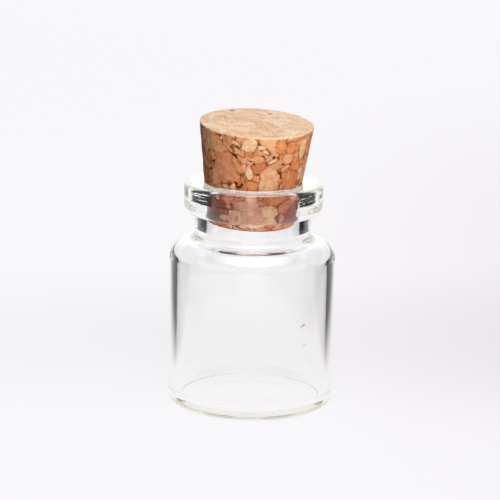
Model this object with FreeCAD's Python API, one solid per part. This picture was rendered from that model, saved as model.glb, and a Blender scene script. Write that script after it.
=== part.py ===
import FreeCAD, Part
import math
import os

# Corked glass vial. A small bottle drawn from clear glass tube, with a flanged mouth, a short neck,
# a round shoulder and a slightly hollow foot, closed by a tapered cork that was pushed in a little
# crooked. Millimetres, +Z up, the origin in the middle of the ring that the bottle stands on.
# -Y is the front, and +X is to the right of someone who looks at the front.

# Bottle, outside
BODY_DIAMETER = 22.0
BOTTLE_HEIGHT = 30.0
NECK_LENGTH = 3.3           # from the underside of the lip down to the shoulder
SHOULDER_FALL = 8.0         # degrees, slope of the shoulder beside the neck
SHOULDER_RADIUS = 2.6
NECK_FILLET = 1.0
LIP_OVERHANG = 1.5          # how far the lip stands out from the neck
LIP_THICKNESS = 4.2
LIP_TOP_RADIUS = 0.5
LIP_BOTTOM_RADIUS = 1.25
LIP_UNDERCUT = 0.2          # fillet between the underside of the lip and the neck
HEEL_RADIUS = 1.3

# Bottle, inside
MOUTH_BORE = 12.4
MOUTH_RADIUS = 0.6          # rounding of the inner edge of the mouth
NECK_WALL = 1.5
BODY_WALL = 1.0
SHOULDER_WALL = 0.8
BASE_THICKNESS = 1.15
FLOOR_RADIUS = 1.5          # between the inner floor and the wall
BORE_FLARE = 2.0            # where the bore opens into the body

# Foot: a flat ring to stand on, around a shallow hollow
FOOT_RING_WIDTH = 3.25
PUNT_RISE = 0.35

# Cork
CORK_TOP_OVERSIZE = 2.7     # on the diameter, over the bore
CORK_TIP_UNDERSIZE = 0.7    # on the diameter, under the bore
CORK_LENGTH = 13.1
CORK_INSERTED = 5.1         # along its own axis, below the top of the lip
CORK_RIM_RADIUS = 0.2
CORK_LEAN_RIGHT = 2.5       # degrees
CORK_LEAN_FORWARD = 5.0     # degrees, towards the front
CORK_SHIFT = -0.1           # along X, where its axis crosses the top of the lip
CORK_CLEARANCE = 0.03       # between the squeezed cork and the glass

OUT_FOLDER = "parts"
RUN_USED_BY_ARCS = 0.98     # the most of a straight run that the arcs at its ends may take
AXIS = FreeCAD.Vector(0, 0, 1)
ORIGIN = FreeCAD.Vector(0, 0, 0)


def section_point(r, z):
    """A point of a section, at radius r and height z."""
    return FreeCAD.Vector(r, 0, z)


def half_angles(points):
    """Half of the angle between the two runs that meet at each inner point of a path."""
    return [
        (before - corner).getAngle(after - corner) / 2
        for before, corner, after in zip(points, points[1:], points[2:])
    ]


def setbacks(points, radii):
    """How far from its corner each arc starts. Two arcs that share a run divide it between them."""
    wanted = [radius / math.tan(half) for radius, half in zip(radii, half_angles(points))]
    padded = [0] + wanted + [0]
    shares = []
    for near, far, here, there in zip(points, points[1:], padded, padded[1:]):
        room = near.distanceToPoint(far) * RUN_USED_BY_ARCS
        shares.append(min(1, room / (here + there)) if here + there > 0 else 1)
    return [wish * min(pair) for wish, pair in zip(wanted, zip(shares, shares[1:]))]


def rounded_path(corners):
    """Straight edges from corner to corner, with a tangent arc of the stated radius at each inner one.

    A corner is (r, z, radius). The first and the last are the ends of the path, and stay sharp.
    """
    points = [section_point(r, z) for r, z, _ in corners]
    radii = [radius for _, _, radius in corners[1:-1]]
    cuts = setbacks(points, radii)
    edges = []
    start = points[0]
    for before, corner, after, cut in zip(points, points[1:], points[2:], cuts):
        back = (before - corner).normalize()
        ahead = (after - corner).normalize()
        if cut > 0:
            half = back.getAngle(ahead) / 2
            arc_start = corner + back * cut
            arc_end = corner + ahead * cut
            inward = (back + ahead).normalize()
            arc_middle = corner + inward * cut * (1 - math.sin(half)) / math.cos(half)
            edges.append(Part.LineSegment(start, arc_start).toShape())
            edges.append(Part.Arc(arc_start, arc_middle, arc_end).toShape())
            start = arc_end
        else:
            edges.append(Part.LineSegment(start, corner).toShape())
            start = corner
    edges.append(Part.LineSegment(start, points[-1]).toShape())
    return edges


def dome_arc(radius, rim_z, rise):
    """The arc of a shallow dome, from the axis to its rim."""
    sphere = (radius ** 2 + rise ** 2) / (2 * rise)
    half_way = radius / 2
    middle_z = rim_z + rise - sphere + math.sqrt(sphere ** 2 - half_way ** 2)
    return Part.Arc(
        section_point(0, rim_z + rise),
        section_point(half_way, middle_z),
        section_point(radius, rim_z),
    ).toShape()


def revolved(edges):
    """The solid that a closed section sweeps out around the axis."""
    face = Part.Face(Part.Wire(Part.__sortEdges__(edges)))
    return face.revolve(ORIGIN, AXIS, 360)


def glass_bottle():
    """The bottle in one piece of glass: foot, body, shoulder, neck and flanged mouth."""
    body_r = BODY_DIAMETER / 2
    body_inner_r = body_r - BODY_WALL
    bore_r = MOUTH_BORE / 2
    neck_r = bore_r + NECK_WALL
    lip_r = neck_r + LIP_OVERHANG
    punt_r = body_r - HEEL_RADIUS - FOOT_RING_WIDTH
    lip_underside = BOTTLE_HEIGHT - LIP_THICKNESS
    neck_foot_z = lip_underside - NECK_LENGTH
    fall = math.tan(math.radians(SHOULDER_FALL))
    shoulder_corner_z = neck_foot_z - (body_r - neck_r) * fall

    # The inner shoulder runs parallel to the outer one, a shoulder wall below it.
    drop = SHOULDER_WALL / math.cos(math.radians(SHOULDER_FALL))
    inner_corner_z = shoulder_corner_z + BODY_WALL * fall - drop
    bore_foot_z = inner_corner_z + (body_inner_r - bore_r) * fall
    inner_shoulder_radius = SHOULDER_RADIUS - SHOULDER_WALL

    walls = rounded_path([
        (punt_r, 0, 0),
        (body_r, 0, HEEL_RADIUS),
        (body_r, shoulder_corner_z, SHOULDER_RADIUS),
        (neck_r, neck_foot_z, NECK_FILLET),
        (neck_r, lip_underside, LIP_UNDERCUT),
        (lip_r, lip_underside, LIP_BOTTOM_RADIUS),
        (lip_r, BOTTLE_HEIGHT, LIP_TOP_RADIUS),
        (bore_r, BOTTLE_HEIGHT, MOUTH_RADIUS),
        (bore_r, bore_foot_z, BORE_FLARE),
        (body_inner_r, inner_corner_z, inner_shoulder_radius),
        (body_inner_r, BASE_THICKNESS, FLOOR_RADIUS),
        (punt_r, BASE_THICKNESS, 0),
    ])
    punt = dome_arc(punt_r, 0, PUNT_RISE)
    floor = dome_arc(punt_r, BASE_THICKNESS, PUNT_RISE)
    core = Part.LineSegment(
        section_point(0, PUNT_RISE), section_point(0, BASE_THICKNESS + PUNT_RISE)
    ).toShape()
    return revolved(walls + [punt, core, floor])


def free_cork():
    """The cork as it was cut, before it is pushed in: its axis on Z, the lip's top at height 0."""
    top_r = (MOUTH_BORE + CORK_TOP_OVERSIZE) / 2
    bottom_r = (MOUTH_BORE - CORK_TIP_UNDERSIZE) / 2
    bottom_z = -CORK_INSERTED
    top_z = bottom_z + CORK_LENGTH
    outline = rounded_path([
        (0, bottom_z, 0),
        (bottom_r, bottom_z, CORK_RIM_RADIUS),
        (top_r, top_z, CORK_RIM_RADIUS),
        (0, top_z, 0),
    ])
    core = Part.LineSegment(section_point(0, bottom_z), section_point(0, top_z)).toShape()
    return revolved(outline + [core])


def room_for_cork():
    """The space that the mouth leaves to the cork: the bore, its rounded edge and all that is above."""
    squeezed_r = MOUTH_BORE / 2 - CORK_CLEARANCE
    wide_r = MOUTH_BORE + CORK_TOP_OVERSIZE
    seat_z = BOTTLE_HEIGHT + CORK_CLEARANCE
    low_z = BOTTLE_HEIGHT - CORK_LENGTH
    high_z = BOTTLE_HEIGHT + CORK_LENGTH
    outline = rounded_path([
        (0, low_z, 0),
        (squeezed_r, low_z, 0),
        (squeezed_r, seat_z, MOUTH_RADIUS + CORK_CLEARANCE),
        (wide_r, seat_z, 0),
        (wide_r, high_z, 0),
        (0, high_z, 0),
    ])
    core = Part.LineSegment(section_point(0, low_z), section_point(0, high_z)).toShape()
    return revolved(outline + [core])


def cork_stopper():
    """The cork in the mouth: leaning a little, and squeezed to the bore where it is inside the neck."""
    cork = free_cork()
    cork.rotate(ORIGIN, FreeCAD.Vector(1, 0, 0), CORK_LEAN_FORWARD)
    cork.rotate(ORIGIN, FreeCAD.Vector(0, 1, 0), CORK_LEAN_RIGHT)
    cork.translate(FreeCAD.Vector(CORK_SHIFT, 0, BOTTLE_HEIGHT))
    return cork.common(room_for_cork())


def main():
    os.makedirs(OUT_FOLDER, exist_ok=True)
    pieces = {
        "glass_bottle": glass_bottle(),
        "cork_stopper": cork_stopper(),
    }
    for name, shape in pieces.items():
        solid = shape.Solids[0]
        solid.exportStep(os.path.join(OUT_FOLDER, name + ".step"))
        print(name, "valid" if solid.isValid() else "NOT VALID", round(solid.Volume, 2), "mm3")


main()
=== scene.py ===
import math

import bpy
import numpy as np
from mathutils import Matrix, Vector


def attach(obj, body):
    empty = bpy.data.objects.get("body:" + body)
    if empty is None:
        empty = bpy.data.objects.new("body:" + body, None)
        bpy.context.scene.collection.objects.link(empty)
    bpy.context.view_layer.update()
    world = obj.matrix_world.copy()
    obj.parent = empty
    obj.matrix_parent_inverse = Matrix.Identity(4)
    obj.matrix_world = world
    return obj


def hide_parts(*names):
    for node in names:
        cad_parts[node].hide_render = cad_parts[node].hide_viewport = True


# Looks of the corked glass vial: the glass as a fine surface of revolution, the agglomerated cork with
# its granules, two crumbs on the glass, and a plain pale studio. The pieces' lengths are written in
# millimetres and turned into metres where a mesh is made. Lengths in a material or of the studio are in
# metres, and each says so.
MM = 0.001
UP = np.array([0.0, 0, 1])

# Glass section, as in the solid
BODY_R = 11.0
HEIGHT = 30.0
NECK_LENGTH = 3.3
SHOULDER_FALL = math.radians(8)
SHOULDER_RADIUS = 2.6
NECK_FILLET = 1.0
LIP_OVERHANG = 1.5
LIP_THICKNESS = 4.2
LIP_TOP_RADIUS = 0.5
LIP_BOTTOM_RADIUS = 1.25
LIP_UNDERCUT = 0.2
HEEL_RADIUS = 1.3
BORE_R = 6.2
MOUTH_RADIUS = 0.6
NECK_WALL = 1.5
BODY_WALL = 1.0
SHOULDER_WALL = 0.8
BASE_THICKNESS = 1.15
FLOOR_RADIUS = 1.5
BORE_FLARE = 2.0
FOOT_RING_WIDTH = 3.25
PUNT_RISE = 0.35
GLASS_SEGMENTS = 288
ARC_STEP = math.radians(6.5)
LEAST_ARC_STEPS = 4
RUN_STEP = 1.6
RUN_MARGIN = 0.06           # share of a long run, from its end to the first point on it
RUN_USED_BY_ARCS = 0.98
DOME_STEPS = 14

# Glass, as a material
GLASS_COLOR = (0.998, 0.999, 0.998, 1)
GLASS_TINT = (0.87, 0.875, 0.73, 1)
GLASS_DENSITY = 27.0        # of the tint, per metre
GLASS_IOR = 1.52
GLASS_IN_SHADOWS = (0.82, 0.82, 0.82, 1)    # what a wall lets through on the way to a lamp
LIP_WAVES = (260, 260, 1300)    # faint unevenness of the mouth, shaped in the flame: waves per metre
LIP_WAVE_DEPTH = 0.00004    # metres
SMOOTH_BELOW = 0.0236       # metres
WAVY_ABOVE = 0.0264

# Cork, as in the solid
CORK_TOP_R = BORE_R + 1.35
CORK_TIP_R = BORE_R - 0.35
CORK_LENGTH = 13.1
CORK_INSERTED = 5.1
CORK_RIM = 0.2
CORK_LEAN_RIGHT = math.radians(2.5)
CORK_LEAN_FORWARD = math.radians(5.0)
CORK_SHIFT = -0.1
CORK_CLEARANCE = 0.03
CORK_SIDES = 132            # cells along each side of the square grid on the cork's top
CORK_ROWS = 118             # rows of cells up its side
CORK_TIP_RINGS = 12         # rings of cells on its tip
RIM_ON_ARC = 0.3            # of the rim's radius, how far its middle point lies inside the corner

# The cork's skin
CHOSEN_EDGE = 2.2           # how firmly a listed granule keeps its shape against the others
CHOSEN_OPEN = 0.3           # how far its seams are open at least
GRANULE_SEED = 7
GRANULE_SPANS = ((0.9, 1.6), (0.8, 1.1), (0.6, 0.9))    # of its size, half its length on each axis
TONE_SPREAD = (0.86, 1.1)   # how dark or light a granule of a tone may be
SHARE_ON_ENDS = 0.28        # of the scattered granules, on the top or the tip
SHARE_ON_TOP = 0.20
TOP_GRANULE_GROWTH = 1.35   # granules on the cut top show larger than on the side
CHOSEN_DRIFT = (0.035, 0.7, 20)     # how crooked seams are: reach, length of a wave, seed
COARSE_DRIFT = (0.10, 1.1, 20)
FINE_DRIFT = (0.05, 0.45, 30)
SEAM_SHUT = 0.22            # each seam has a number from 0 to 1: it is shut up to this one
SEAM_OPEN = 0.72            # and open from this one on
KNOT_SHUT = 0.45
KNOT_OPEN = 0.75
SEAM_WIDTH = 0.075
SEAM_DEPTH = 0.08
KNOT_WIDTH = 0.15           # where three granules meet, and the cork may be open
KNOT_DEPTH = 0.15
HALO_WIDTH = 0.28           # the orange edge beside an open seam
PIT_DEPTH = 0.20
GRANULE_STEP = 0.035        # how much lower one granule may lie than the next
SKIN_WAVE = 0.02
PIT_FULL = 0.6              # of a pit's size, where its floor ends
PIT_ENDS = 1.45
MARK_FULL = 0.6             # of the size of a mark on the top
MARK_ENDS = 1.2
TOP_RELIEF_LOST = 0.75      # share of the relief that the cut took off the top
TOP_STARTS = 0.12           # below the plane of the top, where the side turns into it
TOP_FULL = 0.02
NECK_SHADE_LOSS = (0.10, 0.20, 0.16)   # of red, green and blue: painted shade on the cork inside the mouth, where the glass covers it
TIP_GLOW = 0.45             # how much lighter the lowest of the side is
TIP_GLOW_FULL = 0.9
TIP_GLOW_ENDS = 1.9
TIP_SHADE = 0.8             # how much darker the tip is
TIP_SHADE_FULL = 0.02
TIP_SHADE_ENDS = 0.25
RIM_HIGHLIGHT_BAND = 0.2              # width of the painted highlight round the edge of the top
RIM_STARTS = 0.34           # below the plane of the top
RIM_FULL = 0.16
GRAIN = (2600, 5, 0.65)     # finer noise in the cork's material: waves per metre, detail, roughness
CELLS = (900, 3, 0.55)
GRAIN_TINTS = ((0.90, 0.87, 0.84, 1), (1.07, 1.07, 1.07, 1))    # by which it multiplies the colour
CELL_TINTS = ((0.93, 0.90, 0.88, 1), (1.05, 1.05, 1.05, 1))
GRAIN_RELIEF = 0.00012      # metres
CORK_MATT = 0.88            # roughness in the grain's low and high places
CORK_WORN = 0.66


def srgb(r, g, b):
    """A colour written as 0 to 255 display values, as linear RGBA."""
    def linear(c):
        c = c / 255
        return c / 12.92 if c <= 0.04045 else ((c + 0.055) / 1.055) ** 2.4
    return (linear(r), linear(g), linear(b), 1.0)


TONES = {
    # the darkest granule tone, darkened further as painted shade of the cork's unlit left side
    "bark_painted_shade": srgb(96, 52, 34),
    "umber": srgb(152, 86, 56),
    "red_brown": srgb(216, 144, 106),
    "rust": srgb(206, 130, 84),
    "orange": srgb(219, 141, 88),
    "amber": srgb(221, 158, 108),
    "tan": srgb(225, 168, 125),
    "straw": srgb(236, 194, 146),
    "cream": srgb(238, 204, 160),
    "pink": srgb(217, 164, 130),
    "dark_red": srgb(128, 52, 24),
    "pit_brown": srgb(96, 38, 20),
    "seam_orange": srgb(200, 104, 56),
    "top_peach": srgb(242, 207, 172),
    "top_warm": srgb(226, 174, 128),
    "top_tan": srgb(206, 158, 120),
    "top_pink": srgb(236, 198, 174),
    "top_pale": srgb(248, 222, 196),
    "speck": srgb(150, 96, 64),
    # the pale band round the edge of the top: a painted highlight
    "rim_highlight": srgb(236, 202, 164),
}
COARSE_TONES = (
    "orange", "tan", "amber", "rust", "orange", "straw", "tan", "red_brown", "amber",
)
CHIP_TONES = (
    "rust", "orange", "cream", "seam_orange", "red_brown", "dark_red", "straw", "orange", "rust",
)

# Tries, smallest and largest size, least distance from the others in their own sizes, tones
SCATTERS = (
    (2600, 0.55, 1.25, 1.15, COARSE_TONES),
    (2600, 0.20, 0.42, 0.98, CHIP_TONES),
)

# The granules that show best on the front of the cork: degrees to the right of the front, height over
# the tip, half width, half height, turn in degrees counterclockwise, tone
GRANULES = (
    (-32.0, 8.4, 2.05, 2.10, 15, "red_brown"),
    (-19.5, 9.0, 0.55, 1.50, 32, "amber"),
    (-5.5, 8.2, 0.50, 1.25, 12, "cream"),
    (16.0, 7.2, 1.35, 1.95, -5, "tan"),
    (-7.0, 11.9, 1.15, 1.00, 0, "straw"),
    (-17.0, 10.8, 0.95, 0.55, -20, "tan"),
    (-21.7, 12.0, 0.80, 0.40, -15, "straw"),
    (6.3, 11.6, 0.60, 0.38, -15, "cream"),
    (11.0, 11.1, 0.90, 0.32, -30, "cream"),
    (4.0, 10.1, 0.75, 0.65, -25, "amber"),
    (26.4, 11.7, 0.85, 1.05, 0, "orange"),
    (40.0, 11.5, 0.80, 0.95, 0, "orange"),
    (37.0, 10.0, 0.95, 0.75, 0, "tan"),
    (36.0, 8.8, 0.85, 0.38, 25, "amber"),
    (47.0, 6.9, 1.50, 1.60, 0, "rust"),
    (20.0, 9.85, 1.00, 0.32, 25, "cream"),
    (58.0, 11.0, 0.90, 1.50, 0, "straw"),
    (-1.4, 6.3, 0.90, 0.90, 0, "orange"),
    (-33.9, 5.8, 0.60, 0.35, 0, "pink"),
    (-30.8, 11.4, 0.90, 0.35, -35, "amber"),
    # The two granules low on the left: their dark tone is partly their own, partly painted shade of the
    # unlit left side
    (-53.0, 3.7, 1.50, 1.20, 0, "bark_painted_shade"),
    (-50.0, 1.5, 1.60, 1.00, 10, "bark_painted_shade"),
    (-34.0, 3.2, 0.80, 1.00, 20, "umber"),
    (-24.0, 1.4, 1.40, 0.60, -10, "tan"),
    (-6.0, 3.6, 1.70, 0.75, 5, "pink"),
    (3.0, 1.2, 2.30, 0.70, 4, "cream"),
    (20.0, 3.0, 1.30, 0.90, -20, "straw"),
    (37.0, 3.6, 1.10, 0.90, 10, "red_brown"),
    (52.0, 2.4, 1.40, 1.60, 0, "umber"),
)

# Open pits on the front: degrees to the right, height, half width, half height, turn
PITS = (
    (19.9, 10.3, 0.22, 0.24, 0),
    (-22.6, 10.2, 0.50, 0.13, -30),
    (3.0, 12.1, 0.20, 0.14, -40),
    (8.0, 10.5, 0.24, 0.12, -20),
    (31.6, 9.3, 0.26, 0.10, 10),
    (31.5, 7.6, 0.13, 0.62, 18),
    (30.8, 6.1, 0.11, 0.62, -4),
    (49.2, 5.6, 0.20, 0.12, 0),
    (-17.3, 5.9, 0.50, 0.26, 15),
    (-20.5, 6.4, 0.28, 0.16, -20),
    (-13.6, 6.3, 0.24, 0.18, 30),
    (-4.8, 9.75, 0.26, 0.10, 0),
    (-1.0, 9.3, 0.14, 0.14, 0),
    (4.2, 7.9, 0.26, 0.12, 10),
    (-19.0, 11.3, 0.60, 0.07, -28),
)

# Crumbs on the inside of the glass: degrees to the right, height, half length, half width, turn, tone,
# and how much of what is behind them they cover
CRUMBS = (
    ("fleck", 40.4, 12.48, 0.50, 0.11, 24, srgb(200, 178, 158), 0.60),
    ("speck", 42.3, 9.86, 0.29, 0.26, 0, srgb(214, 208, 212), 0.16),
)
CRUMB_THICKNESS = 0.05
CRUMB_GAP = 0.004           # between a crumb and the wall
CRUMB_SIDES = 10
CRUMB_RINGS = ((1.0, 0.5), (0.6, 1.0), (0.6, 0.0))  # edge, front, back: of its size and thickness

# Marks on the top: x, y, half length, half width, turn, tone, strength
TOP_MARKS = (
    (-1.6, 1.7, 2.6, 1.5, 10, "top_pink", 0.7),
    (2.9, 1.3, 1.4, 1.0, 60, "top_pale", 0.8),
    (-0.9, -3.7, 2.4, 0.9, -5, "top_pale", 0.6),
    (-4.9, -1.0, 1.5, 0.9, 20, "top_pale", 0.5),
    (4.9, -1.6, 1.6, 0.8, -20, "top_pink", 0.5),
    (-3.3, 5.6, 0.42, 0.34, 20, "speck", 1.0),
    (1.7, 4.9, 0.34, 0.34, -10, "speck", 0.9),
    (-6.6, 1.5, 0.26, 0.16, 30, "speck", 0.8),
    (-4.2, 2.1, 0.24, 0.15, -30, "speck", 0.7),
    (1.5, 0.4, 0.30, 0.12, 40, "speck", 0.9),
    (2.0, -0.5, 0.40, 0.12, 30, "speck", 0.8),
    (3.8, 1.5, 0.26, 0.12, -20, "speck", 0.7),
    (-0.4, 3.4, 0.50, 0.10, -15, "top_tan", 0.8),
    (-2.6, -2.2, 0.60, 0.10, 25, "top_tan", 0.6),
)

# Camera of the photograph
CAMERA_ELEVATION = math.radians(13.0)
CAMERA_DISTANCE = 300.0
CAMERA_AIM = (-0.33, 0.0, 20.66)
CAMERA_ROLL = math.radians(1.1)
FOCAL_PIXELS = 2255.0
PHOTO_PIXELS = 500.0
SENSOR = 36.0
CLIP_START = 0.01           # metres
CLIP_END = 10

# How many surfaces a ray may pass, enough for the heel and the shoulder, and how often it is mirrored
LIGHT_STEPS = 64
MIRROR_STEPS = 48

# Lamps: name, place, width in metres, power in watts, spread in degrees, and whether only glossy
# surfaces see it, or only rough ones
LAMPS = (
    ("key", (0.13, -0.77, 0.60), 0.45, 10.6, 180, False),
    ("back_fill", (0.15, 0.75, 0.20), 0.5, 1.8, 180, False),
    ("top_box", (0.03, -0.22, 0.72), 1.3, 9.6, 84, True),
    ("back_box", (-0.02, 0.60, 0.30), 0.8, 0.24, 64, True),
)
LAMP_AIM = (0, 0, 0.03)

# The studio's paper and what is around it. Lengths are in metres, but the floor's radius is in
# millimetres, as all lengths of a mesh are.
PALE = srgb(251, 249, 252)
FLANK = srgb(20, 19, 20)    # the dark that rays meet which were mirrored inside the glass
ROOM = srgb(120, 118, 120)  # the room that the outside of the glass mirrors
WORLD_LEFT = 0.06           # light of the surroundings on rough surfaces, from the left
WORLD_RIGHT = 0.20          # and from the right
WORLD_TURNS = 0.5           # how far to a side a direction points where that side's light is full
FLOOR_R = 2000.0
FLOOR_SIDES = 64
PAPER_SEEN = 0.945          # the rest of the floor's colour comes from the light on it, with the shadow
FLANK_START = 0.015         # to the side, where the dark flanks start
FLANK_FULL = 0.040
FLANK_FADES = 0.150         # from the axis
FLANK_ENDS = 0.210
LANE_START = 0.008          # to the front and back, half the width of the lane between the flanks
LANE_FULL = 0.016
APRON_Y = -0.034            # the middle of the paper in front of the bottle that the flanks spare
APRON_WIDE = 0.070
APRON_DEEP = 0.046
APRON_FULL = 0.8            # share of it that is spared wholly
CARD_START = -0.005         # where the floor to the left stops lighting rough surfaces
CARD_FULL = -0.030
ROOM_MIDDLE = -0.020        # between the two sides where the outside of the glass mirrors the room
ROOM_NEAR = 0.060           # from that middle, and more further back
ROOM_FAR = 0.080

# Painted shade on the paper, grey patches where the light falls off behind the bottle and to the right:
# x, y, half width, half depth in metres, tone
PAINTED_PAPER_SHADE = (
    (0.085, 0.070, 0.100, 0.240, srgb(240, 237, 240)),
    (0.0, 0.030, 0.140, 0.050, srgb(244, 242, 245)),
    (0.060, 0.034, 0.066, 0.060, srgb(233, 229, 233)),
)

# The sky of the studio, as how far a ray's direction points to the side, to the back and upwards
ROOM_FULL = -0.2            # to the back, where the mirrored room gives way to paper
ROOM_START = 0.3
SIDE_START = 0.30           # to the side, where the dark starts for rays mirrored inside the glass
SIDE_FULL = 0.42
SIDE_ENDS = 0.15            # to the back, where it ends
SIDE_BACK = 0.35
SIDE_LOW = 0.34             # upwards, where it starts
SIDE_HIGH = 0.44


def new_object(name, vertices, faces, smooth=True):
    """A mesh object from millimetre vertices."""
    mesh = bpy.data.meshes.new(name)
    mesh.from_pydata([tuple(v) for v in np.asarray(vertices) * MM], [], faces)
    mesh.validate()
    mesh.polygons.foreach_set("use_smooth", [smooth] * len(mesh.polygons))
    mesh.update()
    piece = bpy.data.objects.new(name, mesh)
    bpy.context.scene.collection.objects.link(piece)
    return piece


def node_material(name):
    """A material with an empty node tree and its output node."""
    material = bpy.data.materials.new(name)
    material.use_nodes = True
    tree = material.node_tree
    tree.nodes.clear()
    return material, tree, tree.nodes.new("ShaderNodeOutputMaterial")


def wire(tree, source, target):
    """A link from an output to an input."""
    tree.links.new(source, target)


def feed(tree, value, slot):
    """Gives an input a value: a socket is wired to it, anything else is written on it."""
    if hasattr(value, "is_output"):
        wire(tree, value, slot)
    else:
        slot.default_value = value


def math_node(tree, operation, *inputs, clamp=False):
    """A Math node; each input is a socket or a number."""
    node = tree.nodes.new("ShaderNodeMath")
    node.operation = operation
    node.use_clamp = clamp
    for slot, value in zip(node.inputs, inputs):
        feed(tree, value, slot)
    return node.outputs[0]


def vector_node(tree, operation, vector, other=None):
    """A Vector Math node of a vector and, where it needs one, a fixed second vector."""
    node = tree.nodes.new("ShaderNodeVectorMath")
    node.operation = operation
    wire(tree, vector, node.inputs[0])
    if other is not None:
        node.inputs[1].default_value = other
    return node


def ramp_node(tree, value, low, high, to_low=0.0, to_high=1.0):
    """A smooth step of the value from low to high."""
    node = tree.nodes.new("ShaderNodeMapRange")
    node.interpolation_type = "SMOOTHSTEP"
    wire(tree, value, node.inputs["Value"])
    for name, number in (("From Min", low), ("From Max", high), ("To Min", to_low), ("To Max", to_high)):
        node.inputs[name].default_value = number
    return node.outputs["Result"]


def mix_colors(tree, share, first, second, blend="MIX"):
    """The first colour, with its share of the second mixed in or blended in another way."""
    node = tree.nodes.new("ShaderNodeMix")
    node.data_type = "RGBA"
    node.blend_type = blend
    for place, value in ((0, share), (6, first), (7, second)):
        feed(tree, value, node.inputs[place])
    return node.outputs[2]


def noise_node(tree, place, scale, detail, roughness):
    """Noise, whose scale is in waves per metre."""
    node = tree.nodes.new("ShaderNodeTexNoise")
    wire(tree, place, node.inputs["Vector"])
    for name, value in (("Scale", scale), ("Detail", detail), ("Roughness", roughness)):
        node.inputs[name].default_value = value
    return node.outputs["Fac"]


def split(tree, vector):
    """The X, Y and Z of a vector."""
    node = tree.nodes.new("ShaderNodeSeparateXYZ")
    wire(tree, vector, node.inputs[0])
    return node.outputs


# The glass

def unit(vector):
    """The same direction, with the length 1."""
    return vector / np.linalg.norm(vector)


def half_angle(before, corner, after):
    """Half of the angle between the two runs that meet at a corner."""
    back, ahead = before - corner, after - corner
    return math.acos(np.clip(back @ ahead / np.linalg.norm(back) / np.linalg.norm(ahead), -1, 1)) / 2


def setbacks(points, radii):
    """How far from its corner each arc starts. Two arcs that share a run divide it between them."""
    halves = [half_angle(*trio) for trio in zip(points, points[1:], points[2:])]
    wanted = [radius / math.tan(half) for radius, half in zip(radii, halves)]
    padded = [0] + wanted + [0]
    shares = []
    for near, far, here, there in zip(points, points[1:], padded, padded[1:]):
        room = np.linalg.norm(far - near) * RUN_USED_BY_ARCS
        shares.append(min(1, room / (here + there)) if here + there > 0 else 1)
    return [wish * min(pair) for wish, pair in zip(wanted, zip(shares, shares[1:]))]


def rounded_points(corners):
    """Points of a path with a tangent arc at each inner corner, dense enough for clean refraction."""
    points = [np.array(c[:2], float) for c in corners]
    cuts = setbacks(points, [radius for _, _, radius in corners[1:-1]])
    path = [points[0]]
    for before, corner, after, cut in zip(points, points[1:], points[2:], cuts):
        if cut == 0:
            path.append(corner)
            continue
        back = unit(before - corner)
        ahead = unit(after - corner)
        half = half_angle(before, corner, after)
        radius = cut * math.tan(half)
        centre = corner + unit(back + ahead) * radius / math.sin(half)
        first = corner + back * cut
        last = corner + ahead * cut
        start = math.atan2(*(first - centre)[::-1])
        turn = math.atan2(*(last - centre)[::-1]) - start
        turn = (turn + math.pi) % (2 * math.pi) - math.pi
        steps = max(LEAST_ARC_STEPS, math.ceil(abs(turn) / ARC_STEP))
        for i in range(steps + 1):
            a = start + turn * i / steps
            path.append(centre + radius * np.array([math.cos(a), math.sin(a)]))
    path.append(points[-1])
    return path


def with_run_points(path):
    """The same path with its long runs divided, so that smooth shading keeps them straight."""
    result = [path[0]]
    for a, b in zip(path, path[1:]):
        length = np.linalg.norm(b - a)
        if length > RUN_STEP:
            even = np.linspace(0, 1, math.ceil(length / RUN_STEP) + 1)[1:-1]
            result += [a + (b - a) * t for t in (RUN_MARGIN, *even, 1 - RUN_MARGIN)]
        result.append(b)
    return result


def dome_points(radius, rim_z, rise):
    """The arc of a shallow dome, from near the axis to its rim."""
    sphere = (radius ** 2 + rise ** 2) / (2 * rise)
    radii = [radius * i / DOME_STEPS for i in range(1, DOME_STEPS)]
    return [np.array([r, rim_z + rise - sphere + math.sqrt(sphere ** 2 - r ** 2)]) for r in radii]


def glass_section():
    """The bottle's section, from the hollow under the foot round the outside and inside to the floor."""
    inner_r = BODY_R - BODY_WALL
    neck_r = BORE_R + NECK_WALL
    lip_r = neck_r + LIP_OVERHANG
    punt_r = BODY_R - HEEL_RADIUS - FOOT_RING_WIDTH
    lip_underside = HEIGHT - LIP_THICKNESS
    neck_foot = lip_underside - NECK_LENGTH
    fall = math.tan(SHOULDER_FALL)
    shoulder = neck_foot - (BODY_R - neck_r) * fall
    inner_shoulder = shoulder + BODY_WALL * fall - SHOULDER_WALL / math.cos(SHOULDER_FALL)
    bore_foot = inner_shoulder + (inner_r - BORE_R) * fall
    walls = rounded_points([
        (punt_r, 0, 0),
        (BODY_R, 0, HEEL_RADIUS),
        (BODY_R, shoulder, SHOULDER_RADIUS),
        (neck_r, neck_foot, NECK_FILLET),
        (neck_r, lip_underside, LIP_UNDERCUT),
        (lip_r, lip_underside, LIP_BOTTOM_RADIUS),
        (lip_r, HEIGHT, LIP_TOP_RADIUS),
        (BORE_R, HEIGHT, MOUTH_RADIUS),
        (BORE_R, bore_foot, BORE_FLARE),
        (inner_r, inner_shoulder, SHOULDER_RADIUS - SHOULDER_WALL),
        (inner_r, BASE_THICKNESS, FLOOR_RADIUS),
        (punt_r, BASE_THICKNESS, 0),
    ])
    punt = dome_points(punt_r, 0, PUNT_RISE)
    floor = dome_points(punt_r, BASE_THICKNESS, PUNT_RISE)
    return with_run_points(punt + walls + floor[::-1])


def ring_faces(rings, around):
    """The faces between rings of points that follow each other, all with as many points around."""
    faces = []
    for k in range(rings - 1):
        near, far = k * around, (k + 1) * around
        for i in range(around):
            j = (i + 1) % around
            faces.append((near + i, near + j, far + j, far + i))
    return faces


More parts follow.
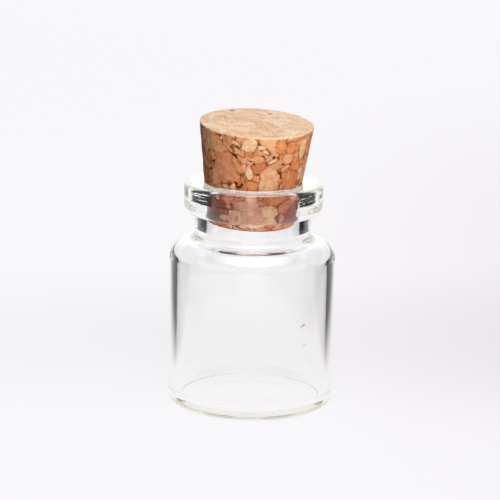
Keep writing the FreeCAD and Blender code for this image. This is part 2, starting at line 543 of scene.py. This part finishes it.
def revolved(name, section, first_z, last_z, segments):
    """A closed surface of revolution, with a fan of triangles at each end on the axis."""
    angles = np.linspace(0, 2 * math.pi, segments, endpoint=False)
    east, north = np.cos(angles), np.sin(angles)
    rings = [np.stack([r * east, r * north, np.full(segments, z)], 1) for r, z in section]
    vertices = np.concatenate(rings + [[[0, 0, first_z]], [[0, 0, last_z]]])
    faces = ring_faces(len(section), segments)
    first, last = len(vertices) - 2, len(vertices) - 1
    end = (len(section) - 1) * segments
    for i in range(segments):
        j = (i + 1) % segments
        faces.append((first, j, i))
        faces.append((end + i, end + j, last))
    return new_object(name, vertices, faces)


def glass_material():
    """Clear glass with a wavy mouth. It tints where much of it is in line, and casts a light shadow."""
    material, tree, out = node_material("clear_glass")
    glass = tree.nodes.new("ShaderNodeBsdfPrincipled")
    glass.inputs["Base Color"].default_value = GLASS_COLOR
    glass.inputs["Roughness"].default_value = 0.0
    glass.inputs["IOR"].default_value = GLASS_IOR
    glass.inputs["Transmission Weight"].default_value = 1.0
    passed = tree.nodes.new("ShaderNodeBsdfTransparent")
    passed.inputs["Color"].default_value = GLASS_IN_SHADOWS
    mix = tree.nodes.new("ShaderNodeMixShader")
    place = tree.nodes.new("ShaderNodeTexCoord").outputs["Object"]
    stretched = vector_node(tree, "MULTIPLY", place, LIP_WAVES)
    bump = tree.nodes.new("ShaderNodeBump")
    bump.inputs["Distance"].default_value = LIP_WAVE_DEPTH
    wavy = ramp_node(tree, split(tree, place)["Z"], SMOOTH_BELOW, WAVY_ABOVE)
    wire(tree, wavy, bump.inputs["Strength"])
    wire(tree, noise_node(tree, stretched.outputs["Vector"], 1.0, 2.0, 0.5), bump.inputs["Height"])
    wire(tree, bump.outputs["Normal"], glass.inputs["Normal"])
    wire(tree, tree.nodes.new("ShaderNodeLightPath").outputs["Is Shadow Ray"], mix.inputs[0])
    wire(tree, glass.outputs["BSDF"], mix.inputs[1])
    wire(tree, passed.outputs["BSDF"], mix.inputs[2])
    wire(tree, mix.outputs[0], out.inputs["Surface"])
    tint = tree.nodes.new("ShaderNodeVolumeAbsorption")
    tint.inputs["Color"].default_value = GLASS_TINT
    tint.inputs["Density"].default_value = GLASS_DENSITY
    wire(tree, tint.outputs["Volume"], out.inputs["Volume"])
    return material


def glass_bottle():
    """The bottle in place of its node."""
    section = glass_section()
    bottle = revolved("bottle_glass", section, PUNT_RISE, BASE_THICKNESS + PUNT_RISE, GLASS_SEGMENTS)
    bottle.data.materials.append(glass_material())
    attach(bottle, "bottle")
    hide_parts("glass_bottle")


# The cork

def cork_place():
    """The turn and the shift that take the cork from its own frame to its place in the mouth."""
    lean = Matrix.Rotation(CORK_LEAN_RIGHT, 3, "Y") @ Matrix.Rotation(CORK_LEAN_FORWARD, 3, "X")
    return np.array(lean), np.array([CORK_SHIFT, 0, HEIGHT])


def cork_radius(h):
    """The radius of the free cork at a height over its tip."""
    return CORK_TIP_R + (CORK_TOP_R - CORK_TIP_R) * h / CORK_LENGTH


def squeezed(points):
    """Points of the cork after it is pushed in: inside the bore, and round the edge of the mouth."""
    room = BORE_R - CORK_CLEARANCE
    rounding = MOUTH_RADIUS + CORK_CLEARANCE
    z = points[:, 2]
    above = np.clip(z - (HEIGHT - MOUTH_RADIUS), 0, rounding)
    limit = room + rounding - np.sqrt(rounding ** 2 - above ** 2)
    limit = np.where(z < HEIGHT + CORK_CLEARANCE, limit, np.inf)
    reach = np.hypot(points[:, 0], points[:, 1])
    factor = np.minimum(1, limit / np.maximum(reach, 1e-6))
    return np.stack([points[:, 0] * factor, points[:, 1] * factor, z], 1)


def square_to_disc(a, b):
    """A point of the square from -1 to 1, moved to the unit disc with even spacing along its edge."""
    if a == 0 and b == 0:
        return 0.0, 0.0
    if abs(a) >= abs(b):
        turn = math.pi / 4 * b / a
        return a * math.cos(turn), a * math.sin(turn)
    turn = math.pi / 2 - math.pi / 4 * a / b
    return b * math.cos(turn), b * math.sin(turn)


def edge_walk(n):
    """The grid places along the edge of the square, counterclockwise from its lower right corner."""
    return ([(n, k) for k in range(n)] + [(n - k, n) for k in range(n)]
            + [(0, n - k) for k in range(n)] + [(k, 0) for k in range(n)])


def cork_grid():
    """Vertices and faces of the free cork in its own frame, the tip at height 0."""
    n, around = CORK_SIDES, 4 * CORK_SIDES
    walk = edge_walk(n)
    rim = [square_to_disc(2 * i / n - 1, 2 * j / n - 1) for i, j in walk]
    tip = CORK_TIP_R - CORK_RIM
    inside = CORK_RIM * RIM_ON_ARC
    profile = [(tip * k / CORK_TIP_RINGS, 0) for k in range(1, CORK_TIP_RINGS + 1)]
    profile.append((CORK_TIP_R - inside, inside))
    for k in range(CORK_ROWS + 1):
        h = CORK_RIM + (CORK_LENGTH - 2 * CORK_RIM) * k / CORK_ROWS
        profile.append((cork_radius(h), h))
    profile.append((CORK_TOP_R - inside, CORK_LENGTH - inside))
    profile.append((CORK_TOP_R - CORK_RIM, CORK_LENGTH))
    vertices = [(r * x, r * y, h) for r, h in profile for x, y in rim]
    faces = ring_faces(len(profile), around)
    row = (len(profile) - 1) * around
    place = {spot: row + k for k, spot in enumerate(walk)}
    for i in range(1, n):
        for j in range(1, n):
            x, y = square_to_disc(2 * i / n - 1, 2 * j / n - 1)
            place[i, j] = len(vertices)
            vertices.append((profile[-1][0] * x, profile[-1][0] * y, CORK_LENGTH))
    for i in range(n):
        for j in range(n):
            faces.append((place[i, j], place[i + 1, j], place[i + 1, j + 1], place[i, j + 1]))
    middle = len(vertices)
    vertices.append((0, 0, 0))
    faces += [(middle, (i + 1) % around, i) for i in range(around)]
    return np.array(vertices), faces


def waves(points, length, seed, count=14):
    """Smooth noise between about -1 and 1, a sum of plane waves of about the given length."""
    rng = np.random.default_rng(seed)
    total = np.zeros(len(points))
    for _ in range(count):
        way = rng.normal(size=3)
        way *= 2 * math.pi / (length * rng.uniform(0.7, 1.5) * np.linalg.norm(way))
        total += np.sin(points @ way + rng.uniform(0, 2 * math.pi))
    return total / math.sqrt(count)


def drift(points, reach, length, seed):
    """Smooth shifts of about the given reach, which make the seams between the granules crooked."""
    return reach * np.stack([waves(points, length, seed + k) for k in range(3)], 1)


def directions(angle):
    """Outwards and to the right, at so many degrees to the right of the front."""
    a = math.radians(angle)
    return np.array([math.sin(a), -math.cos(a), 0]), np.array([math.cos(a), math.sin(a), 0])


def turned(right, up, turn):
    """The directions to the right and upwards, turned counterclockwise by degrees."""
    t = math.radians(turn)
    return right * math.cos(t) + up * math.sin(t), up * math.cos(t) - right * math.sin(t)


def soft_step(value, low, high):
    """0 below low, 1 above high, and smooth between them."""
    t = np.clip((value - low) / (high - low), 0, 1)
    return t * t * (3 - 2 * t)


def surface_frame(angle, height):
    """The point on the cork's side, and its directions to the right, upwards and inwards."""
    out, right = directions(angle)
    return out * cork_radius(height) + np.array([0, 0, height]), right, UP, -out


def placed_granules():
    """The listed granules, as centre, axes divided by their half sizes, size and colour."""
    found = []
    for angle, height, half_width, half_height, turn, tone in GRANULES:
        centre, right, up, inward = surface_frame(angle, height)
        first, second = turned(right, up, turn)
        depth = min(half_width, half_height)
        axes = np.stack([first / half_width, second / half_height, inward / depth])
        found.append((centre, axes, math.sqrt(half_width * half_height), TONES[tone]))
    return found


def scattered_granules(rng, taken):
    """Granules all over the rest of the skin, none in the middle of another: coarse ones, then chips."""
    centres = [centre for centre, *_ in taken]
    frames = [axes for _, axes, _, _ in taken]
    found = []
    for tries, low, high, apart, tones in SCATTERS:
        for _ in range(tries):
            height = rng.uniform(0, CORK_LENGTH)
            centre, *_ = surface_frame(rng.uniform(-180, 180), height)
            share = rng.uniform()
            if share < SHARE_ON_ENDS:
                out = centre[:2] / np.hypot(*centre[:2])
                centre = np.array([*out * CORK_TOP_R * math.sqrt(rng.uniform()), 0.0])
                centre[2] = CORK_LENGTH if share < SHARE_ON_TOP else 0.0
            growth = TOP_GRANULE_GROWTH if centre[2] == CORK_LENGTH else 1
            size = rng.uniform(low, high) * growth
            away = np.einsum("nij,nj->ni", np.array(frames), centre - np.array(centres))
            if np.linalg.norm(away, axis=1).min() < apart:
                continue
            basis, _ = np.linalg.qr(rng.normal(size=(3, 3)))
            halves = size * np.array([rng.uniform(*span) for span in GRANULE_SPANS])
            axes = basis / halves[:, None]
            centres.append(centre)
            frames.append(axes)
            tone = np.array(TONES[tones[rng.integers(len(tones))]]) * rng.uniform(*TONE_SPREAD)
            found.append((centre, axes, float(np.cbrt(halves.prod())), tone))
    return found


def pair_number(first, second, seed):
    """A fixed random number from 0 to 1 for each pair of granules: a sine with large factors."""
    low, high = np.minimum(first, second), np.maximum(first, second)
    mixed = np.sin(low * 12.9898 + high * 78.233 + seed) * 43758.5453
    return mixed - np.floor(mixed)


def box_norm(away):
    """A distance whose unit shape is between an ellipsoid and a box."""
    return np.sum(np.abs(away) ** 3, axis=1) ** (1 / 3)


def granule_map(points):
    """For each point its granule and the two next ones, how far it is from the seams with them, its
    granule's colour, and how many granules were listed."""
    rng = np.random.default_rng(GRANULE_SEED)
    placed = placed_granules()
    granules = placed + scattered_granules(rng, placed)
    lightly = points + drift(points, *CHOSEN_DRIFT)
    warped = points + drift(points, *COARSE_DRIFT) + drift(points, *FINE_DRIFT)
    near = np.full((3, len(points)), np.inf)
    owner = np.zeros((3, len(points)), int)
    for number, (centre, axes, _, _) in enumerate(granules):
        if number < len(placed):
            away = 1 + CHOSEN_EDGE * (box_norm((lightly - centre) @ axes.T) - 1)
        else:
            away = np.linalg.norm((warped - centre) @ axes.T, axis=1)
        local = np.flatnonzero(away < near[2])
        near[2][local], owner[2][local] = away[local], number
        for rank in (1, 0):
            closer = local[near[rank + 1][local] < near[rank][local]]
            for table in (near, owner):
                kept = table[rank][closer]
                table[rank][closer] = table[rank + 1][closer]
                table[rank + 1][closer] = kept
    size = np.array([g[2] for g in granules])
    size[:len(placed)] /= CHOSEN_EDGE
    tone = np.array([g[3][:3] for g in granules])
    seam = (near[1] - near[0]) / (1 / size[owner[0]] + 1 / size[owner[1]])
    knot = (near[2] - near[0]) / (1 / size[owner[0]] + 1 / size[owner[2]])
    return owner, seam, knot, tone[owner[0]], len(placed)


def hollow_spots(points):
    """How deep each point lies in one of the listed pits, 0 to 1."""
    depth = np.zeros(len(points))
    for angle, height, half_width, half_height, turn in PITS:
        centre, right, up, _ = surface_frame(angle, height)
        along, across = turned(right, up, turn)
        away = points - centre
        reach = np.hypot(away @ along / half_width, away @ across / half_height)
        depth = np.maximum(depth, 1 - soft_step(reach, PIT_FULL, PIT_ENDS))
    return depth


def bell(distance, width):
    """1 on a line and nearly 0 at twice the width from it."""
    return np.exp(-(distance / width) ** 2)


def blended(color, other, share):
    """Each point's colour with its share of another mixed in."""
    return color * (1 - share)[:, None] + np.array(other[:3]) * share[:, None]


def top_color(points, owner, crevice, gap):
    """The colours of the cut top: pale granules with faint seams, and the listed marks."""
    mottle = pair_number(owner[0], owner[0], 5.0)
    color = np.tile(TONES["top_peach"][:3], (len(points), 1))
    color = blended(color, TONES["top_warm"], 0.55 * soft_step(mottle, 0.5, 0.9))
    color = blended(color, TONES["top_pale"], 0.6 * soft_step(mottle, 0.5, 0.1))
    color = blended(color, TONES["top_tan"], np.clip(0.55 * crevice + 0.75 * gap, 0, 1))
    for x, y, half_length, half_width, turn, tone, strength in TOP_MARKS:
        t = math.radians(turn)
        along = (points[:, 0] - x) * math.cos(t) + (points[:, 1] - y) * math.sin(t)
        across = (points[:, 1] - y) * math.cos(t) - (points[:, 0] - x) * math.sin(t)
        reach = np.hypot(along / half_length, across / half_width)
        spot = 1 - soft_step(reach, MARK_FULL, MARK_ENDS)
        color = blended(color, TONES[tone], strength * spot)
    return color


def side_color(points, tone, crevice, gap, pit, halo):
    """The colours of the side and the tip: granules, orange and dark red in the gaps, brown pits, and
    painted shade inside the mouth and on the tip.
    """
    height = points[:, 2]
    color = tone * (1 + 0.07 * waves(points, 1.0, 60) + 0.05 * waves(points, 0.35, 61))[:, None]
    color = blended(color, TONES["seam_orange"], 0.60 * halo)
    color = blended(color, TONES["dark_red"], np.clip(1.1 * crevice + 1.0 * gap, 0, 0.95))
    color = blended(color, TONES["pit_brown"], 0.95 * pit)
    # Painted shade: the part of the cork inside the mouth is darkened for the glass over it
    in_neck_shade = soft_step(CORK_INSERTED + 0.3 - height, 0, 0.5)
    color *= 1 - in_neck_shade[:, None] * np.array(NECK_SHADE_LOSS)
    color *= 1 + TIP_GLOW * (1 - soft_step(height, TIP_GLOW_FULL, TIP_GLOW_ENDS))[:, None]
    on_tip = 1 - soft_step(height, TIP_SHADE_FULL, TIP_SHADE_ENDS)
    return color * (1 - TIP_SHADE * on_tip[:, None])


def granulated(points):
    """How far the skin of the cork lies below its cut surface, in millimetres, and its colours."""
    owner, seam, knot, tone, placed = granule_map(points)
    height = points[:, 2]
    open_seam = soft_step(pair_number(owner[0], owner[1], 1.0), SEAM_SHUT, SEAM_OPEN)
    chosen = (owner[0] < placed) | (owner[1] < placed)
    open_seam = np.where(chosen, np.maximum(open_seam, CHOSEN_OPEN), open_seam)
    open_seam *= 0.65 + 0.35 * waves(points, 1.6, 40)
    open_seam = np.clip(open_seam, 0, 1)
    open_knot = soft_step(pair_number(owner[0] + owner[1], owner[2], 2.0), KNOT_SHUT, KNOT_OPEN)
    crevice = open_seam * bell(seam, SEAM_WIDTH)
    gap = open_knot * bell(knot, KNOT_WIDTH) * bell(seam, KNOT_WIDTH)
    pit = hollow_spots(points)
    halo = np.clip(open_seam * bell(seam, HALO_WIDTH) + 0.8 * gap, 0, 1)

    on_top = soft_step(height, CORK_LENGTH - TOP_STARTS, CORK_LENGTH - TOP_FULL)
    shallow = 1 - TOP_RELIEF_LOST * on_top
    depth = (SEAM_DEPTH * crevice + KNOT_DEPTH * gap) * shallow + PIT_DEPTH * pit * (1 - on_top)
    depth += GRANULE_STEP * pair_number(owner[0], owner[0], 3.0) * shallow
    depth += SKIN_WAVE * (1 + waves(points, 2.4, 50)) * shallow

    color = side_color(points, tone, crevice, gap, pit, halo) * (1 - on_top)[:, None]
    color += top_color(points, owner, crevice, gap) * on_top[:, None]
    # Painted highlight: a pale band round the edge of the top, where it catches the light
    from_edge = np.hypot(points[:, 0], points[:, 1]) - cork_radius(height)
    rim = bell(from_edge, RIM_HIGHLIGHT_BAND)
    rim *= soft_step(height, CORK_LENGTH - RIM_STARTS, CORK_LENGTH - RIM_FULL)
    color = blended(color, TONES["rim_highlight"], 0.85 * rim)
    return depth, np.clip(color, 0, 1)


def cork_material():
    """Matt cork: the granules' tones with two finer noises in colour, and one in gloss and relief."""
    material, tree, out = node_material("agglomerated_cork")
    shader = tree.nodes.new("ShaderNodeBsdfPrincipled")
    tone = tree.nodes.new("ShaderNodeAttribute")
    tone.attribute_name = "granule_tone"
    place = tree.nodes.new("ShaderNodeTexCoord").outputs["Object"]
    grain = noise_node(tree, place, *GRAIN)
    cells = noise_node(tree, place, *CELLS)
    color = tone.outputs["Color"]
    for noise, low, high, tints in ((grain, 0.32, 0.68, GRAIN_TINTS), (cells, 0.35, 0.65, CELL_TINTS)):
        tint = mix_colors(tree, ramp_node(tree, noise, low, high), *tints)
        color = mix_colors(tree, 1.0, color, tint, "MULTIPLY")
    wire(tree, color, shader.inputs["Base Color"])
    rough = ramp_node(tree, grain, 0.3, 0.7, CORK_MATT, CORK_WORN)
    wire(tree, rough, shader.inputs["Roughness"])
    shader.inputs["Specular IOR Level"].default_value = 0.25
    bump = tree.nodes.new("ShaderNodeBump")
    bump.inputs["Strength"].default_value = 0.4
    bump.inputs["Distance"].default_value = GRAIN_RELIEF
    wire(tree, grain, bump.inputs["Height"])
    wire(tree, bump.outputs["Normal"], shader.inputs["Normal"])
    wire(tree, shader.outputs["BSDF"], out.inputs["Surface"])
    return material


def cork_stopper():
    """The cork: its grid, lowered where its skin has relief, then leaned, shifted and squeezed."""
    vertices, faces = cork_grid()
    depth, color = granulated(vertices)
    reach = np.hypot(vertices[:, 0], vertices[:, 1])
    edge = cork_radius(vertices[:, 2])
    aside = soft_step(reach, edge - 2 * CORK_RIM, edge - CORK_RIM)
    upward = np.where(vertices[:, 2] > CORK_LENGTH / 2, 1 - aside, 0)
    outward = vertices * np.array([1, 1, 0]) / np.maximum(reach, 1e-6)[:, None]
    carved = vertices - outward * (depth * aside)[:, None]
    carved[:, 2] -= depth * upward
    turn, shift = cork_place()
    local = carved - np.array([0, 0, CORK_INSERTED])
    placed = squeezed(local @ turn.T + shift)
    cork = new_object("cork_body", placed, faces)
    tones = cork.data.attributes.new("granule_tone", "FLOAT_COLOR", "POINT")
    tones.data.foreach_set("color", np.concatenate([color, np.ones((len(color), 1))], 1).ravel())
    cork.data.materials.append(cork_material())
    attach(cork, "cork")
    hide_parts("cork_stopper")


def crumb(name, angle, height, half_length, half_width, turn, tone, cover):
    """A flat crumb that sticks to the inside of the body: a bulging oval, thin at its edge."""
    out, right = directions(angle)
    along, across = turned(right, UP, turn)
    wall = BODY_R - BODY_WALL
    n = CRUMB_SIDES
    points = []
    for share, bulge in CRUMB_RINGS:
        for i in range(n):
            b = 2 * math.pi * i / n
            spread = (along * half_length * math.cos(b) + across * half_width * math.sin(b)) * share
            spot = out * wall + spread
            reach = wall - CRUMB_GAP - CRUMB_THICKNESS * bulge
            spot[:2] *= reach / np.hypot(*spot[:2])
            points.append(spot + np.array([0, 0, height]))
    faces = [tuple(range(n, 2 * n)), tuple(range(3 * n - 1, 2 * n - 1, -1))]
    for i in range(n):
        j = (i + 1) % n
        faces += [(i, j, n + j, n + i), (2 * n + i, 2 * n + j, j, i)]
    piece = new_object("crumb_" + name, points, faces)
    material, tree, out_node = node_material("crumb_" + name)
    shader = tree.nodes.new("ShaderNodeBsdfPrincipled")
    shader.inputs["Base Color"].default_value = tone
    shader.inputs["Roughness"].default_value = 0.9
    shader.inputs["Alpha"].default_value = cover
    wire(tree, shader.outputs["BSDF"], out_node.inputs["Surface"])
    piece.data.materials.append(material)
    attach(piece, "bottle")


# The studio

def make_camera():
    """The camera of the photograph."""
    data = bpy.data.cameras.new("camera")
    data.sensor_width = SENSOR
    data.lens = FOCAL_PIXELS / PHOTO_PIXELS * SENSOR
    data.clip_start = CLIP_START
    data.clip_end = CLIP_END
    camera = bpy.data.objects.new("camera", data)
    bpy.context.scene.collection.objects.link(camera)
    forward = Vector((0, math.cos(CAMERA_ELEVATION), -math.sin(CAMERA_ELEVATION)))
    aim = Vector(CAMERA_AIM) * MM
    look = forward.to_track_quat("-Z", "Y").to_matrix().to_4x4()
    camera.matrix_world = (Matrix.Translation(aim - forward * CAMERA_DISTANCE * MM) @ look
                           @ Matrix.Rotation(CAMERA_ROLL, 4, "Z"))
    bpy.context.scene.camera = camera


def area_lamp(name, place, size, power, spread, mirrored_only):
    """A square lamp. Where its spread is narrow, its mirror image fades from the middle to the edge."""
    data = bpy.data.lights.new(name, "AREA")
    data.size = size
    data.energy = power
    data.spread = math.radians(spread)
    lamp = bpy.data.objects.new(name, data)
    lamp.location = place
    lamp.rotation_mode = "QUATERNION"
    lamp.rotation_quaternion = (Vector(LAMP_AIM) - Vector(place)).to_track_quat("-Z", "Y")
    lamp.visible_glossy = mirrored_only
    lamp.visible_diffuse = not mirrored_only
    lamp.visible_transmission = False
    lamp.visible_camera = False
    bpy.context.scene.collection.objects.link(lamp)


def seen_shares(tree):
    """What sees the paper's colour as it is, what was mirrored inside the glass and sees the dark, what
    is mirrored on the outside, and what lights rough surfaces."""
    path = tree.nodes.new("ShaderNodeLightPath").outputs
    passed = path["Is Transmission Ray"]
    inner = math_node(tree, "MULTIPLY", path["Glossy Depth"], passed, clamp=True)
    shown = math_node(tree, "ADD", path["Is Camera Ray"], path["Is Glossy Ray"], clamp=True)
    shown = math_node(tree, "ADD", shown, passed, clamp=True)
    bounced = math_node(tree, "MINIMUM", path["Diffuse Depth"], 1.0)
    shown = math_node(tree, "MULTIPLY", shown, math_node(tree, "SUBTRACT", 1.0, bounced))
    return shown, inner, path["Is Reflection Ray"], bounced


def patch_share(tree, place, x, y, half_width, half_depth, solid=0.0):
    """A soft oval on the floor: 1 out to the solid share of its size, and 0 from its edge on."""
    offset = vector_node(tree, "SUBTRACT", place, (x, y, 0)).outputs[0]
    scaled = vector_node(tree, "DIVIDE", offset, (half_width, half_depth, 1)).outputs[0]
    reach = vector_node(tree, "LENGTH", scaled).outputs["Value"]
    return ramp_node(tree, reach, solid, 1.0, 1.0, 0.0)


def flank_share(tree, where):
    """Where the floor is dark: to both sides, but not in the lane between them, and not far away."""
    place = split(tree, where)
    aside = ramp_node(tree, math_node(tree, "ABSOLUTE", place["X"]), FLANK_START, FLANK_FULL)
    apart = ramp_node(tree, math_node(tree, "ABSOLUTE", place["Y"]), LANE_START, LANE_FULL)
    reach = vector_node(tree, "LENGTH", where).outputs["Value"]
    near = ramp_node(tree, reach, FLANK_FADES, FLANK_ENDS, 1.0, 0.0)
    apron = patch_share(tree, where, 0.0, APRON_Y, APRON_WIDE, APRON_DEEP, APRON_FULL)
    dark = math_node(tree, "MULTIPLY", math_node(tree, "MULTIPLY", aside, apart), near)
    return math_node(tree, "MULTIPLY", dark, math_node(tree, "SUBTRACT", 1.0, apron))


def make_world():
    """Dim light on rough surfaces, less of it from the left, and paper, room or dark for the rest."""
    world = bpy.data.worlds.new("studio")
    bpy.context.scene.world = world
    world.use_nodes = True
    tree = world.node_tree
    tree.nodes.clear()
    out = tree.nodes.new("ShaderNodeOutputWorld")
    way = split(tree, tree.nodes.new("ShaderNodeTexCoord").outputs["Generated"])
    light = tree.nodes.new("ShaderNodeBackground")
    strength = ramp_node(tree, way["X"], -WORLD_TURNS, WORLD_TURNS, WORLD_LEFT, WORLD_RIGHT)
    wire(tree, strength, light.inputs["Strength"])
    seen = tree.nodes.new("ShaderNodeBackground")
    shown, inner, mirrored, _ = seen_shares(tree)
    away = ramp_node(tree, way["Y"], ROOM_FULL, ROOM_START, 1.0, 0.0)
    base = mix_colors(tree, math_node(tree, "MULTIPLY", mirrored, away), PALE, ROOM)
    aside = ramp_node(tree, math_node(tree, "ABSOLUTE", way["X"]), SIDE_START, SIDE_FULL)
    ahead = ramp_node(tree, way["Y"], SIDE_ENDS, SIDE_BACK, 1.0, 0.0)
    dark = math_node(tree, "MULTIPLY", aside, ahead)
    dark = math_node(tree, "MULTIPLY", dark, ramp_node(tree, way["Z"], SIDE_LOW, SIDE_HIGH))
    dark = math_node(tree, "MULTIPLY", dark, inner)
    wire(tree, mix_colors(tree, dark, base, FLANK), seen.inputs["Color"])
    mix = tree.nodes.new("ShaderNodeMixShader")
    wire(tree, shown, mix.inputs[0])
    wire(tree, light.outputs[0], mix.inputs[1])
    wire(tree, seen.outputs[0], mix.inputs[2])
    wire(tree, mix.outputs[0], out.inputs["Surface"])


def paper_with_painted_shade(tree, place):
    """The colour of the paper, with painted shade: a soft grey patch behind the bottle, deeper to the
    right.
    """
    color = PALE
    for x, y, half_width, half_depth, tone in PAINTED_PAPER_SHADE:
        color = mix_colors(tree, patch_share(tree, place, x, y, half_width, half_depth), color, tone)
    return color


def make_floor():
    """The paper: lit a little by the lamps for the shadow, and seen as the studio's colours."""
    angles = np.linspace(0, 2 * math.pi, FLOOR_SIDES, endpoint=False)
    ring = [(FLOOR_R * math.cos(a), FLOOR_R * math.sin(a), 0) for a in angles]
    floor = new_object("floor", ring, [tuple(range(FLOOR_SIDES))], smooth=False)
    material, tree, out = node_material("floor_paper")
    paper = tree.nodes.new("ShaderNodeBsdfDiffuse")
    place = tree.nodes.new("ShaderNodeTexCoord").outputs["Object"]
    shown, inner, mirrored, bounced = seen_shares(tree)
    spot = split(tree, place)
    card = ramp_node(tree, spot["X"], CARD_FULL, CARD_START, 1.0, 0.0)
    unlit = math_node(tree, "MULTIPLY", bounced, card)
    wire(tree, mix_colors(tree, unlit, PALE, FLANK), paper.inputs["Color"])
    behind = math_node(tree, "MAXIMUM", spot["Y"], 0.0)
    aside = math_node(tree, "ABSOLUTE", math_node(tree, "SUBTRACT", spot["X"], ROOM_MIDDLE))
    aside = math_node(tree, "SUBTRACT", aside, behind)
    room = math_node(tree, "MULTIPLY", mirrored, ramp_node(tree, aside, ROOM_NEAR, ROOM_FAR))
    base = mix_colors(tree, room, paper_with_painted_shade(tree, place), ROOM)
    dark = math_node(tree, "MULTIPLY", inner, flank_share(tree, place))
    seen = tree.nodes.new("ShaderNodeEmission")
    wire(tree, mix_colors(tree, dark, base, FLANK), seen.inputs["Color"])
    share = math_node(tree, "MAXIMUM", dark, PAPER_SEEN)
    mix = tree.nodes.new("ShaderNodeMixShader")
    wire(tree, math_node(tree, "MULTIPLY", shown, share), mix.inputs[0])
    wire(tree, paper.outputs[0], mix.inputs[1])
    wire(tree, seen.outputs[0], mix.inputs[2])
    wire(tree, mix.outputs[0], out.inputs["Surface"])
    floor.data.materials.append(material)


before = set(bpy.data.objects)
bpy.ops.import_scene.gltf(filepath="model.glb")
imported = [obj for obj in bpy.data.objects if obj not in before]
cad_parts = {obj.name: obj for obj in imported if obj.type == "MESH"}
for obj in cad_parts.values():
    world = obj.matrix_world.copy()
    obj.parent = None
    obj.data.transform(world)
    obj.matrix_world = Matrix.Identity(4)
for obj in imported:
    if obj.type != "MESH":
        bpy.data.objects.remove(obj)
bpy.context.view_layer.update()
make_camera()
glass_bottle()
cork_stopper()
for details in CRUMBS:
    crumb(*details)
make_floor()
make_world()
for lamp in LAMPS:
    area_lamp(*lamp)
cycles = bpy.context.scene.cycles
cycles.max_bounces = LIGHT_STEPS
cycles.transmission_bounces = LIGHT_STEPS
cycles.glossy_bounces = MIRROR_STEPS
bpy.context.scene.view_settings.view_transform = "Standard"
